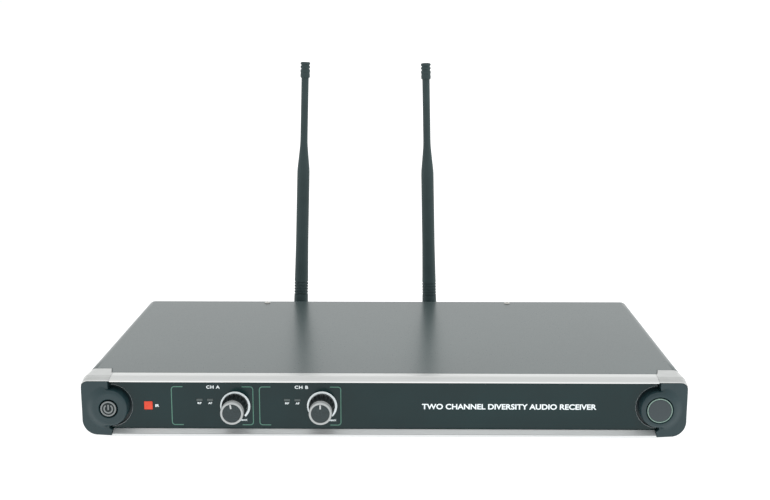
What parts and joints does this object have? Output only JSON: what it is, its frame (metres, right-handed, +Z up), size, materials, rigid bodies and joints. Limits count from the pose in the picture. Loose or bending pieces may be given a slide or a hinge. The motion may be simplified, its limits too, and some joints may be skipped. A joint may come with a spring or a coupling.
{
  "type": "wireless receiver",
  "caption": "Low, wide wireless audio receiver: steel case, aluminium front rails, black end caps holding push buttons, volume knobs and folding rear antennas.",
  "frame": {"origin": "on the resting surface, below the middle of the whole unit's box, knobs and antenna hinges included", "axes": "+X along the width to the right as seen from the front, +Y towards the back, +Z up"},
  "size_m": [0.42, 0.2688, 0.2535],
  "materials": {
    "cover_paint": "satin",
    "panel_paint": "satin",
    "zinc_steel": "satin",
    "satin_aluminium": "satin",
    "fascia_paint": "gloss",
    "black_plastic": "satin",
    "button_plastic": "satin",
    "green_ring": "gloss",
    "smoked_lens": "gloss",
    "red_lens": "gloss",
    "knob_rubber": "matte",
    "tinned_steel": "satin",
    "circuit_board": "satin",
    "black_sleeve": "satin",
    "ribbon_grey": "matte",
    "nickel": "satin",
    "antenna_plastic": "satin",
    "foot_rubber": "matte"
  },
  "bodies": {
    "case": {"top_cover": "cover_paint", "bottom_chassis": "zinc_steel", "rear_panel": "panel_paint", "front_top_rail": "satin_aluminium", "front_bottom_rail": "satin_aluminium", "corner_trim_left": "satin_aluminium", "corner_trim_right": "satin_aluminium", "end_cap_left": "black_plastic", "end_cap_right": "black_plastic", "front_panel": "fascia_paint", "front_subframe": "zinc_steel", "ir_window": "red_lens", "rf_light_a": "smoked_lens", "af_light_a": "smoked_lens", "rf_light_b": "smoked_lens", "af_light_b": "smoked_lens", "power_switch": "black_plastic", "select_switch": "black_plastic", "pot_a": "tinned_steel", "pot_b": "tinned_steel", "control_board": "circuit_board", "main_board": "circuit_board", "tuner_can_a": "tinned_steel", "tuner_can_b": "tinned_steel", "regulator_heatsink": "satin_aluminium", "capacitor_a": "black_sleeve", "capacitor_b": "black_sleeve", "ribbon_cable": "ribbon_grey", "antenna_lead_a": "black_sleeve", "antenna_lead_b": "black_sleeve", "antenna_socket_a": "nickel", "antenna_socket_b": "nickel", "xlr_output_a": "nickel", "xlr_output_b": "nickel", "jack_output": "black_plastic", "dc_inlet": "black_plastic", "cover_screw_left": "nickel", "cover_screw_right": "nickel", "rear_screw_left": "nickel", "rear_screw_right": "nickel", "foot_front_left": "foot_rubber", "foot_front_right": "foot_rubber", "foot_rear_left": "foot_rubber", "foot_rear_right": "foot_rubber"},
    "knob_a": {"knob_a": "knob_rubber", "knob_band_a": "satin_aluminium", "pot_shaft_a": "tinned_steel"},
    "knob_b": {"knob_b": "knob_rubber", "knob_band_b": "satin_aluminium", "pot_shaft_b": "tinned_steel"},
    "power_button": {"power_button": "button_plastic"},
    "select_button": {"select_button": "button_plastic", "select_light_ring": "green_ring"},
    "antenna_base_a": {"antenna_base_a": "antenna_plastic", "antenna_pin_a": "tinned_steel"},
    "antenna_base_b": {"antenna_base_b": "antenna_plastic", "antenna_pin_b": "tinned_steel"},
    "antenna_whip_a": {"antenna_whip_a": "antenna_plastic"},
    "antenna_whip_b": {"antenna_whip_b": "antenna_plastic"}
  },
  "joints": [
    {"name": "knob_a_turn", "type": "hinge", "parent": "case", "child": "knob_a", "pos_m": [-0.1036, -0.11685, 0.0249], "axis": [0, 1, 0], "range_deg": [-127, 143]},
    {"name": "knob_b_turn", "type": "hinge", "parent": "case", "child": "knob_b", "pos_m": [-0.04295, -0.11685, 0.0249], "axis": [0, 1, 0], "range_deg": [-135, 135]},
    {"name": "power_button_press", "type": "slide", "parent": "case", "child": "power_button", "axis": [0, 1, 0], "range_m": [0, 0.0015], "stiffness_N_per_m": 400},
    {"name": "select_button_press", "type": "slide", "parent": "case", "child": "select_button", "axis": [0, 1, 0], "range_m": [0, 0.0015], "stiffness_N_per_m": 400},
    {"name": "antenna_a_swivel", "type": "hinge", "parent": "case", "child": "antenna_base_a", "pos_m": [-0.07775, 0.12815, 0.0249], "axis": [0, 1, 0], "range_deg": [-91.8, 10]},
    {"name": "antenna_b_swivel", "type": "hinge", "parent": "case", "child": "antenna_base_b", "pos_m": [0.03784, 0.12815, 0.0249], "axis": [0, 1, 0], "range_deg": [-10, 91.28]},
    {"name": "antenna_a_fold", "type": "hinge", "parent": "antenna_base_a", "child": "antenna_whip_a", "pos_m": [-0.07775, 0.12815, 0.0249], "axis": [-0.9995, 0, 0.0314], "range_deg": [-4, 90]},
    {"name": "antenna_b_fold", "type": "hinge", "parent": "antenna_base_b", "child": "antenna_whip_b", "pos_m": [0.03784, 0.12815, 0.0249], "axis": [-0.9998, 0, -0.0223], "range_deg": [0, 94]}
  ]
}
